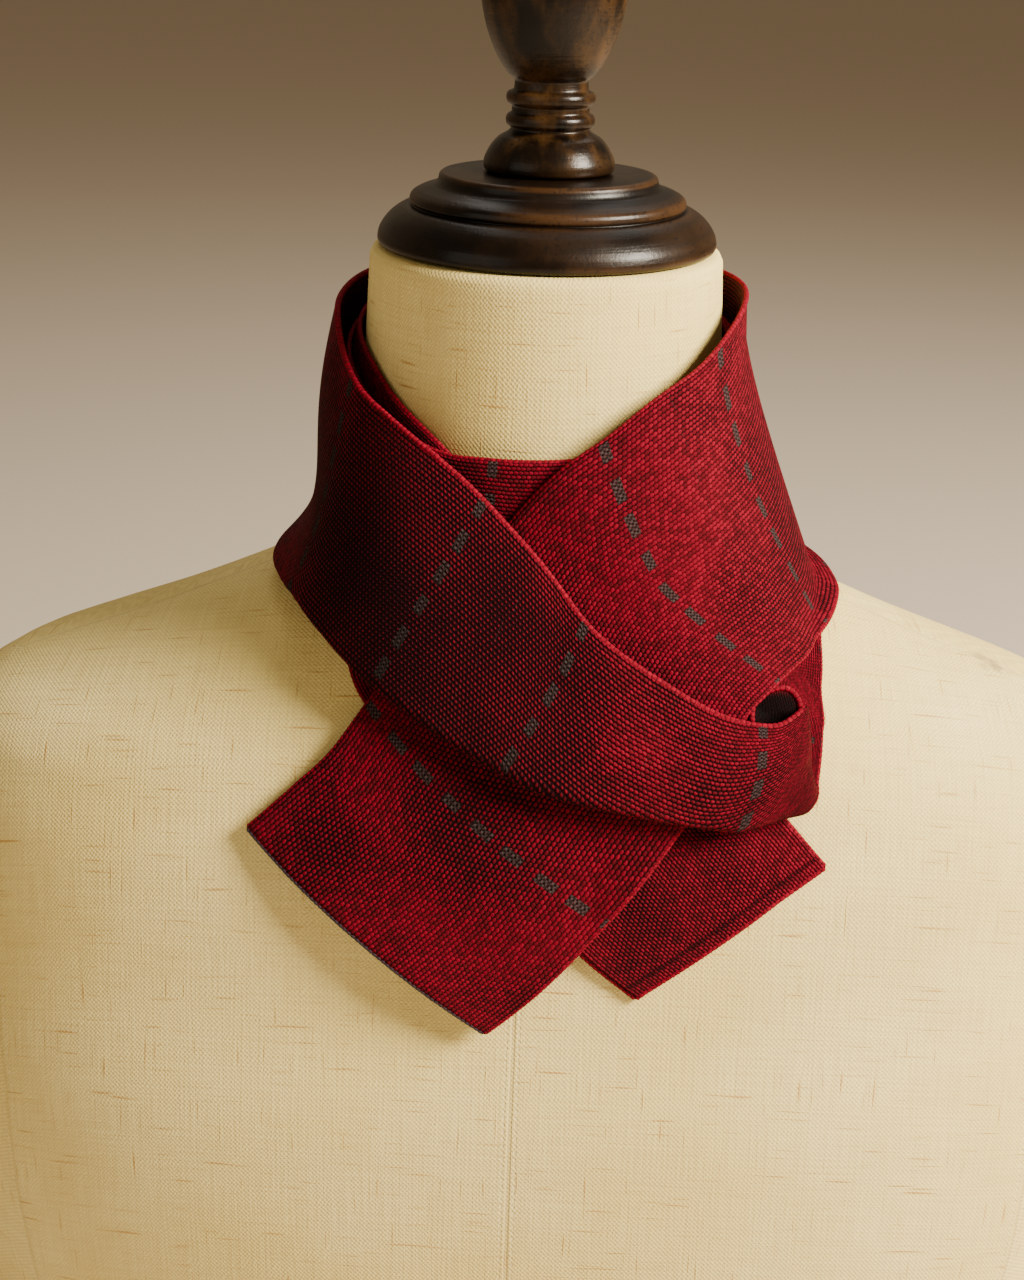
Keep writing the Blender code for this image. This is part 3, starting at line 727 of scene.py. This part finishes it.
def settled(middle, along, round_turn):
    """Let the slack cloth of a tight turn settle into a rounder one, outwards from a share."""
    first, last, share = round_turn
    grip = np.clip(along - first, 0, 1) * np.clip(last - along, 0, 1)
    outer = np.clip((np.linspace(0, 1, middle.shape[1]) - share) / 0.2, 0, 1)
    grip = (grip[:, None] * outer[None, :])[1:-1, :, None]
    for _ in range(SETTLING_ROUNDS):
        pull = (middle[:-2] + middle[2:]) / 2 - middle[1:-1]
        middle[1:-1] += 0.5 * grip * pull
    return middle


def painted_pocket_shade(edge, row, share):
    """How much painted shade a point gets inside the pocket: 0 outside its edge, 1 a little further
    in.
    """
    past_edge = (row - np.interp(share, *zip(*edge))) / 0.12
    before_corner = (edge[-1][0] + 0.015 - share) / 0.02
    before_turn = (POCKET_LAST_ROW - row) / 0.3
    return min(max(min(past_edge, before_corner, before_turn), 0.0), 1.0)


def knit_stretch(name, rows, swells, lines, across, before, joins, node_name, pocket=None,
                 round_turn=None):
    """One stretch of the scarf, from its table, and the run of its length."""
    along, middle, widths = cloth_surface(rows, across)
    if round_turn:
        middle = settled(middle, along, round_turn)
    for end, joined, inner in ((0, joins[0], 1), (-1, joins[1], -2)):
        if joined:
            middle[end, :, 0] = np.sign(middle[inner, 0, 0]) * JOIN_GAP
    normal = np.cross(np.gradient(middle, axis=0), np.gradient(middle, axis=1))
    normal /= np.linalg.norm(normal, axis=2, keepdims=True)
    open_and_shade = np.zeros(widths.shape)
    for swell in swells:
        s = dict(zip(SWELL_COLUMNS, swell))
        bump = np.exp(
            -((along[:, None] - s["row"]) / s["rows_wide"]) ** 2
            - ((widths - s["from_edge"]) / s["wide"]) ** 2
        )
        middle = middle + normal * (bump * s["height"])[:, :, None]
        open_and_shade += bump * s["open"]
    # The length is taken along a line a third of the way across from the neck-side edge.
    run = run_along(middle[:, across // 3])
    # A dashed line bows across the strip: its row at the neck side, the middle and the outer side.
    to_line = np.full(widths.shape, 1000.0)
    for line in lines:
        bowed = np.interp(widths / WIDTH, (0.0, 0.5, 1.0), line)
        way = run[:, None] - np.interp(bowed, along, run)
        to_line = np.where(np.abs(way) < np.abs(to_line), way, to_line)
    cloth = bmesh.new()
    line_layer = cloth.verts.layers.float.new("line")
    open_and_shade_layer = cloth.verts.layers.float.new("open")
    pocket_shade_layer = cloth.verts.layers.float.new("pocket_shade")
    numbers = laid_grid(cloth, middle)
    stitches_uv = cloth.loops.layers.uv.new("stitches")
    for vert, (s, p) in numbers.items():
        vert[line_layer] = to_line[s, p]
        vert[open_and_shade_layer] = open_and_shade[s, p]
        # Inside the pocket the cloth is marked for painted shade.
        if pocket:
            vert[pocket_shade_layer] = painted_pocket_shade(pocket, along[s], p / (across - 1))
    for face in cloth.faces:
        for corner in face.loops:
            s, p = numbers[corner.vert]
            corner[stitches_uv].uv = (before + run[s], widths[s, p])
    piece = add_piece(name, cloth, [red_knit, dark_reverse], node_name)
    wall = piece.modifiers.new("wall", "SOLIDIFY")
    wall.thickness = WALL * MM
    wall.offset = 0.0
    wall.material_offset = 1
    wall.material_offset_rim = 0
    return piece, middle, normal, run


# The chains at the long sides, the hem and the cast-off edge show one bead for each stitch.
CHAIN_PITCH = 1.9
CHAIN_RADIUS = 0.98
HEM_RADIUS = 1.2
CHAIN_STEP = 0.6
CHAIN_SIDES = 8

tree, group_in, group_out = new_group(
    "chain_beads", (("Way", "NodeSocketVector"),), ("Bead", "Fibre"),
)
chain_group = tree
split = node(tree, "SeparateXYZ")
feed(tree, split.inputs["Vector"], group_in.outputs["Way"])
feed(tree, group_out.inputs["Bead"], calc(
    tree, "ABSOLUTE", waves(tree, split.outputs["X"], 2 * CHAIN_PITCH)))
feed(tree, group_out.inputs["Fibre"], grain_noise(tree, group_in.outputs["Way"], (1, 1, 1), 4.0))


def chain_finish(name, roughness):
    """A matt yarn laid in beads: its material, tree and shader, its UV map and its beads."""
    material, yarn_tree, yarn_shader = new_finish(name)
    way = node(yarn_tree, "UVMap", uv_map="stitches").outputs["UV"]
    chain = node(yarn_tree, "Group", node_tree=chain_group)
    feed(yarn_tree, chain.inputs["Way"], way)
    yarn_shader.inputs["Roughness"].default_value = roughness
    fibres = raised(yarn_tree, chain.outputs["Fibre"], 0.0003, 0.6)
    feed(yarn_tree, yarn_shader.inputs["Normal"], fibres)
    return material, yarn_tree, yarn_shader, way, chain.outputs["Bead"]


edge_yarn, tree, shader, chain_way, beads = chain_finish("red_edge_chain", 0.8)
mottle = grain_noise(tree, chain_way, (1, 1, 1), 0.6, 2.0)
chain_red = tint(tree, fade(tree, mottle, 0.3, 0.7), (0.11, 0.0003, 0.0065), (0.26, 0.0007, 0.016))
between = fade(tree, beads, 0.0, 0.55, 0.85, 0.0)
feed(tree, shader.inputs["Base Color"], tint(tree, between, chain_red, (0.015, 0.001, 0.003)))
shader.inputs["Specular IOR Level"].default_value = 0.1

navy_yarn, tree, shader, _, beads = chain_finish("navy_cast_off", 0.85)
navy = tint(tree, beads, (0.006, 0.004, 0.008), (0.030, 0.014, 0.026))
feed(tree, shader.inputs["Base Color"], navy)


def edge_chain(name, line, outwards, radius, yarn):
    """A chain of stitches along an edge line, each one a bead of the rolled edge."""
    run = run_along(line)
    at = np.linspace(0.0, run[-1], max(8, int(run[-1] / CHAIN_STEP)))
    path = points_at(at, run, line)
    side = points_at(at, run, outwards)
    forward = np.gradient(path, axis=0)
    forward /= np.linalg.norm(forward, axis=1, keepdims=True)
    side -= forward * (side * forward).sum(axis=1, keepdims=True)
    side /= np.linalg.norm(side, axis=1, keepdims=True)
    rise = np.cross(forward, side)
    beading = radius * (0.80 + 0.20 * np.abs(np.sin(at * math.pi / CHAIN_PITCH)))
    beading[[0, -1]] = radius * 0.3
    angles = np.linspace(0.0, 2 * math.pi, CHAIN_SIDES + 1)[None, :, None]
    ring = np.cos(angles) * side[:, None] + np.sin(angles) * rise[:, None]
    tube = path[:, None] + ring * beading[:, None, None]
    chain = bmesh.new()
    numbers = laid_grid(chain, tube)
    stitches_uv = chain.loops.layers.uv.new("stitches")
    for face in chain.faces:
        for corner in face.loops:
            s, p = numbers[corner.vert]
            corner[stitches_uv].uv = (at[s], p * radius)
    bmesh.ops.remove_doubles(chain, verts=chain.verts, dist=0.000001)
    bmesh.ops.holes_fill(chain, edges=[edge for edge in chain.edges if edge.is_boundary])
    bmesh.ops.recalc_face_normals(chain, faces=chain.faces)
    return add_piece(name, chain, [yarn], None)


def edge_lines(middle):
    """The two long edge lines of a stretch, each with the way outwards from it."""
    neck_side = (middle[:, 0], middle[:, 0] - middle[:, 2])
    outer_side = (middle[:, -1], middle[:, -1] - middle[:, -3])
    return neck_side, outer_side


def chains(name, middle):
    """The rolled chain edges on both long sides of a stretch."""
    return [
        edge_chain(f"{name}_{side_name}_chain", *edge, CHAIN_RADIUS, edge_yarn)
        for side_name, edge in zip(("neck_side", "outer_side"), edge_lines(middle))
    ]


under_tail, middle, _, run = knit_stretch(
    "knit_under_tail", UNDER_TAIL_ROWS, UNDER_TAIL_SWELLS, (), 56, 0.0, (False, True),
    "scarf_under_tail",
)
trims = chains("under_tail", middle)
trims.append(edge_chain(
    "under_tail_hem", middle[0], middle[0] - middle[2], HEM_RADIUS, edge_yarn,
))
length_so_far = run[-1]

# The second stretch goes from the back round the right side, level across the throat and round
# the left side to the back again. It shows as a strip at the throat and at the left edge.
FIRST_TURN_ROWS = (
    (180.0, 20, 65.1, 180.0, 124, 84.0, -4.0, 0.6, 1.7, 0),
    (150.0, 21, 65.2, 150.0, 121, 83.0, -4.0, 0.6, 1.7, 0),
    (120.0, 24, 65.5, 120.0, 114, 84.0, -4.0, 0.6, 1.7, 0),
    (92.0, 30, 66.0, 94.0, 107, 82.0, -3.0, 0.6, 2.0, 0),
    (66.0, 40, 67.2, 72.0, 107, 84.0, -4.0, 0.6, 2.5, 0),
    (45.0, 48, 68.8, 53.0, 113, 89.0, -5.0, 0.6, 3.0, 0),
    (28.0, 54, 70.0, 36.0, 126, 94.5, -7.0, 0.6, 4.5, 0),
    (12.0, 57.5, 70.8, 19.0, 140, 95.5, -8.0, 0.6, 4.8, 0),
    (0.0, 58.3, 71.2, 4.0, 147, 96.0, -8.0, 0.6, 4.8, 0),
    (-12.0, 58.5, 71.4, -9.0, 145, 96.5, -8.0, 0.6, 4.8, 0),
    (-25.0, 58.5, 71.5, -23.0, 135, 96.5, -8.0, 0.6, 4.8, 0),
    (-40.0, 54, 71.2, -40.0, 123, 95.5, -7.0, 0.65, 4.8, 0),
    (-60.0, 45, 70.4, -60.0, 113, 91.0, -6.0, 0.7, 4.8, 0),
    (-90.0, 34, 69.6, -92.0, 110, 89.0, -6.0, 0.7, 4.8, 0),
    (-120.0, 28, 69.2, -120.0, 115, 87.5, -5.0, 0.7, 4.8, 0),
    (-150.0, 25, 68.8, -150.0, 123, 87.8, -4.0, 0.6, 4.8, 0),
    (-180.0, 24, 68.6, -180.0, 127, 88.5, -4.0, 0.6, 4.8, 0),
)
FIRST_TURN_LINES = (
    (1.0, 1.0, 1.0), (3.3, 3.3, 3.3), (5.3, 5.3, 5.3), (8.9, 9.1, 9.1), (12.3, 12.3, 12.3),
    (15.0, 15.0, 15.0),
)
first_turn, middle, _, run = knit_stretch(
    "knit_first_turn", FIRST_TURN_ROWS, (), FIRST_TURN_LINES, 56, length_so_far,
    (True, True), "scarf_first_turn",
)
chains("first_turn", middle)
length_so_far += run[-1]

# The third stretch comes down the right side, turns round the drooping loop, and goes up to the
# left as the broad front band. The band's lower part is turned under, so a soft fold is its
# lower boundary, and the loop's slack side makes a ridge and a small pocket above it, whose
# inside is painted near-black as painted shade.
LOOP_TURN_ROWS = (
    (180.0, 24, 68.6, 180.0, 127, 88.5, -4.0, 0.6, 4.8, 0),
    (150.0, 25, 68.8, 150.0, 125, 88.0, -4.0, 0.6, 4.8, 0),
    (120.0, 27, 69.0, 120.0, 119, 91.5, -4.0, 0.6, 4.8, 0),
    (96.0, 32, 69.2, 98.0, 114, 97.0, -4.0, 0.6, 4.8, 0),
    (78.0, 43, 70.6, 82.0, 116, 101.0, -6.0, 0.6, 4.8, 0),
    (64.0, 60, 73.5, 67.0, 124, 107.5, -7.0, 0.6, 4.8, 0),
    (51.0, 90, 81.0, 57.0, 135, 120.0, -4.0, 0.6, 4.8, 0),
    (43.5, 118, 95.0, 53.0, 145, 126.6, 3.0, 0.5, 4.0, 0),
    (40.5, 135, 104.0, 50.6, 151.5, 130.4, -4.0, 0.5, 2.5, 0),
    (41.5, 147, 108.0, 48.9, 157, 132.8, -3.0, 0.5, 2.5, 0),
    (43.3, 154.5, 116.0, 47.8, 161, 134.2, -1.0, 0.5, 2.5, 0),
    (46.3, 148.5, 125.0, 46.8, 163.5, 134.5, 0.5, 0.5, 6.0, 0),
    (48.5, 136.5, 126.0, 45.2, 166, 134.5, 1.5, 0.5, 8.0, 0),
    (46.0, 138.0, 126.5, 43.0, 168.3, 134.0, 3.0, 0.5, 11.0, 0.1),
    (41.5, 140, 124.0, 37.5, 171.5, 131.5, 4.0, 0.5, 14.0, 0.45),
    (34.5, 136, 114.0, 29.0, 170.5, 125.5, 4.0, 0.5, 15.5, 0.9),
    (24.7, 124, 100.0, 15.0, 165, 116.5, 3.5, 0.5, 16.0, 1.0),
    (13.2, 109, 89.5, 2.0, 158, 111.5, 3.5, 0.5, 15.5, 1.0),
    (2.3, 89, 83.2, -11.0, 148, 108.5, 2.5, 0.5, 13.0, 1.0),
    (-11.0, 71, 79.0, -22.7, 137, 107.5, 2.0, 0.5, 12.0, 1.0),
    (-23.0, 59, 78.0, -32.5, 129, 106.5, 1.0, 0.5, 11.0, 1.0),
    (-38.0, 49, 77.2, -43.0, 121, 104.5, -1.0, 0.6, 10.0, 1.0),
    (-52.0, 42, 76.6, -55.0, 116, 101.5, -3.0, 0.65, 9.5, 1.0),
    (-64.0, 34, 75.2, -67.0, 114, 99.0, -6.0, 0.7, 9.0, 0.5),
    (-78.0, 24, 73.9, -82.0, 113, 97.5, -9.0, 0.75, 8.5, 0.1),
    (-98.0, 19, 73.2, -100.0, 112, 94.0, -7.5, 0.75, 8.0, 0),
    (-122.0, 16, 72.8, -122.0, 114, 91.0, -5.5, 0.7, 8.0, 0),
    (-150.0, 15, 72.2, -150.0, 117, 90.5, -4.0, 0.6, 8.0, 0),
    (-180.0, 15, 72.0, -180.0, 118, 90.5, -4.0, 0.6, 8.0, 0),
)
# The first swell is flat: it opens the front band's stitches and darkens the band with painted
# shade.
LOOP_TURN_SWELLS = (
    (19.0, 50, 4.0, 90, 0.0, 0.62),
    (18.0, 24, 1.1, 20, -0.5, 0.5),
    (17.0, 55, 0.9, 14, 1.4, 0.2),
    (19.6, 55, 1.5, 24, 1.0, 0.75),
    (16.2, 24, 0.6, 10, 0.8, -0.3),
    (22.0, 40, 1.8, 30, 0.0, 0.7),
    (14.8, 30, 0.8, 20, 0.4, 0.15),
)
LOOP_TURN_LINES = (
    (1.4, 1.4, 1.4), (3.6, 3.6, 3.6), (5.4, 5.4, 5.4), (7.9, 7.9, 7.9), (14.2, 14.5, 15.1),
    (17.1, 17.4, 17.6), (19.05, 19.45, 19.8), (22.3, 22.3, 22.3), (24.3, 24.3, 24.3),
    (26.6, 26.6, 26.6),
)
# Upper edge of the pocket on the strip's way down: share of the width, and row.
POCKET_EDGE = (
    (0.23, 8.4), (0.30, 7.8), (0.40, 7.4), (0.53, 7.1), (0.65, 6.95), (0.75, 7.0), (0.78, 7.25),
)
# Rows where the loop's tight turn starts and ends, and the share of the width it settles from.
ROUND_TURN = (7.5, 14.5, 0.45)
LOOP_ACROSS = 76
RIM_RADIUS = 1.15
RIM_RISE = 1.1
RIM_STEP = 0.8
RIM_SMOOTHED = 60
RIM_ROUNDS = 14
BAND_FROM_ROW = 12.15
BACK_ROWS = 7
loop_turn, middle, normal, run = knit_stretch(
    "knit_loop_turn", LOOP_TURN_ROWS, LOOP_TURN_SWELLS,
    LOOP_TURN_LINES, LOOP_ACROSS, length_so_far, (True, True),
    "scarf_loop_turn", POCKET_EDGE, ROUND_TURN,
)
# The chain edge goes under the over tail, comes out round the pocket's rim and turns on to the
# front band. It is left out where it would lie unseen inside the pocket.
(neck_line, neck_way), outer_edge = edge_lines(middle)
rim_numbers = [
    (round(row * STEPS_PER_ROW), round(share * (LOOP_ACROSS - 1))) for share, row in POCKET_EDGE
]
rim = [middle[number] + normal[number] * RIM_RISE for number in rim_numbers]
band = neck_line[round(BAND_FROM_ROW * STEPS_PER_ROW):]
rim_line = np.concatenate((rim, band))
rim_way = np.concatenate((np.tile((0.0, 0.0, 1.0), (len(rim), 1)), neck_way[-len(band):]))
rim_run = run_along(rim_line)
rim_at = np.arange(0.0, rim_run[-1], RIM_STEP)
rim_line = points_at(rim_at, rim_run, rim_line)
rim_way = points_at(rim_at, rim_run, rim_way)
for _ in range(RIM_ROUNDS):
    between = (rim_line[:RIM_SMOOTHED - 1] + rim_line[2:RIM_SMOOTHED + 1]) / 2
    rim_line[1:RIM_SMOOTHED] += (between - rim_line[1:RIM_SMOOTHED]) / 2
back = slice(0, BACK_ROWS * STEPS_PER_ROW)
trims = [
    edge_chain("loop_turn_pocket_chain", rim_line, rim_way, RIM_RADIUS, edge_yarn),
    edge_chain("loop_turn_back_chain", neck_line[back], neck_way[back], CHAIN_RADIUS, edge_yarn),
    edge_chain("loop_turn_outer_chain", *outer_edge, CHAIN_RADIUS, edge_yarn),
]
length_so_far += run[-1]

# The last stretch comes over the right side, down across the front and under the broad band,
# and ends on the left of the chest in a plain cast-off edge of navy yarn.
OVER_TAIL_ROWS = (
    (180.0, 15, 72.0, 180.0, 118, 90.5, -4.0, 0.6, 8.0, 0),
    (150.0, 14, 71.8, 150.0, 117, 91.0, -4.0, 0.6, 8.0, 0),
    (120.0, 13, 71.6, 118.0, 117, 97.0, -4.0, 0.6, 8.0, 0),
    (92.0, 13.5, 71.2, 93.0, 118, 102.5, -5.0, 0.3, 7.8, 0),
    (77.0, 15.5, 71.4, 83.0, 119, 104.5, -5.5, 0.3, 7.8, 0),
    (64.0, 20, 72.2, 74.5, 120, 106.8, -5.0, 0.35, 7.8, 0),
    (48.0, 29.5, 73.0, 65.5, 122, 110.5, -4.0, 0.45, 7.8, 0),
    (32.0, 38, 74.0, 57.5, 125, 114.5, -4.0, 0.6, 7.8, 0),
    (19.0, 49, 74.8, 50.0, 128.5, 115.0, -6.0, 0.6, 7.8, 0),
    (7.0, 60, 75.2, 44.5, 132.5, 115.5, -8.0, 0.6, 7.8, 0),
    (-4.0, 76, 75.8, 39.5, 139, 115.5, -9.0, 0.6, 7.8, 0),
    (-15.0, 97, 81.0, 33.0, 157, 116.5, -8.0, 0.6, 8.2, 0),
    (-24.0, 119, 93.0, 22.0, 187, 116.5, -4.0, 0.6, 8.6, 0),
    (-30.5, 139, 104.0, 12.0, 213, 117.5, 0.0, 0.5, 6.0, 0),
    (-34.5, 156, 115.0, 4.5, 230, 119.0, 0.0, 0.5, 4.0, 0),
    (-38.5, 168, 124.0, 0.0, 239, 120.0, 0.0, 0.5, 3.0, 0),
    (-43.0, 183, 137.0, -4.5, 247, 122.0, 0.0, 0.5, 2.5, 0),
)
OVER_TAIL_SWELLS = (
    (12.9, 62, 0.75, 34, -0.4, 0.65),
    (12.6, 25, 0.7, 20, 0.3, 0.35),
    (15.0, 28, 0.9, 18, 1.0, 0.45),
    (15.5, 78, 0.8, 18, 0.8, 0.1),
    (13.2, 95, 1.0, 14, 0.2, -0.3),
    (8.2, 40, 1.2, 22, 0.7, -0.35),
    (9.8, 75, 1.0, 20, 0.6, 0.0),
    (4.6, 60, 1.4, 34, 0.3, 0.45),
)
OVER_TAIL_LINES = (
    (0.4, 0.4, 0.4), (3.0, 3.0, 3.0), (5.55, 5.8, 5.8), (8.15, 8.75, 8.45), (13.0, 12.85, 12.7),
)
CAST_OFF_RADIUS = 1.05
over_tail, middle, _, run = knit_stretch(
    "knit_over_tail", OVER_TAIL_ROWS, OVER_TAIL_SWELLS, OVER_TAIL_LINES, 64,
    length_so_far, (True, False), "scarf_over_tail",
)
trims = chains("over_tail", middle)
cast_off = (middle[-1], middle[-1] - middle[-3])
trims.append(edge_chain("over_tail_cast_off", *cast_off, CAST_OFF_RADIUS, navy_yarn))

# The studio: a wide pale floor, a soft key light high on the right, a broad weak fill from the
# left, a weak light from above and behind, and a low warm sky that keeps the shadows open.
LIT_PLACE = Vector((0.0, -0.05, 0.36))

plain, _, shader = new_finish("pale_floor")
shader.inputs["Base Color"].default_value = (0.60, 0.52, 0.42, 1.0)
shader.inputs["Roughness"].default_value = 0.9
bm = bmesh.new()
bmesh.ops.create_grid(bm, x_segments=1, y_segments=1, size=25.0)
mesh = bpy.data.meshes.new("floor")
bm.to_mesh(mesh)
bm.free()
mesh.materials.append(plain)
floor = bpy.data.objects.new("floor", mesh)
bpy.context.scene.collection.objects.link(floor)

for name, spot_at, size, power, colour in (
    ("key", (1.45, -0.60, 1.35), 0.7, 140.0, (1.0, 0.90, 0.74)),
    ("fill", (-1.6, -1.6, 1.0), 1.8, 9.0, (1.0, 0.92, 0.78)),
    ("top", (0.1, 0.9, 2.0), 1.4, 9.0, (1.0, 0.96, 0.90)),
):
    lamp = bpy.data.lights.new(name, "AREA")
    lamp.shape = "SQUARE"
    lamp.size = size
    lamp.energy = power
    lamp.color = colour
    light = bpy.data.objects.new(name, lamp)
    light.location = spot_at
    toward = LIT_PLACE - light.location
    light.rotation_euler = toward.to_track_quat("-Z", "Y").to_euler()
    bpy.context.scene.collection.objects.link(light)
world = bpy.data.worlds.new("studio")
world.use_nodes = True
sky = world.node_tree.nodes["Background"]
sky.inputs["Color"].default_value = (0.90, 0.67, 0.42, 1.0)
sky.inputs["Strength"].default_value = 0.27
bpy.context.scene.world = world
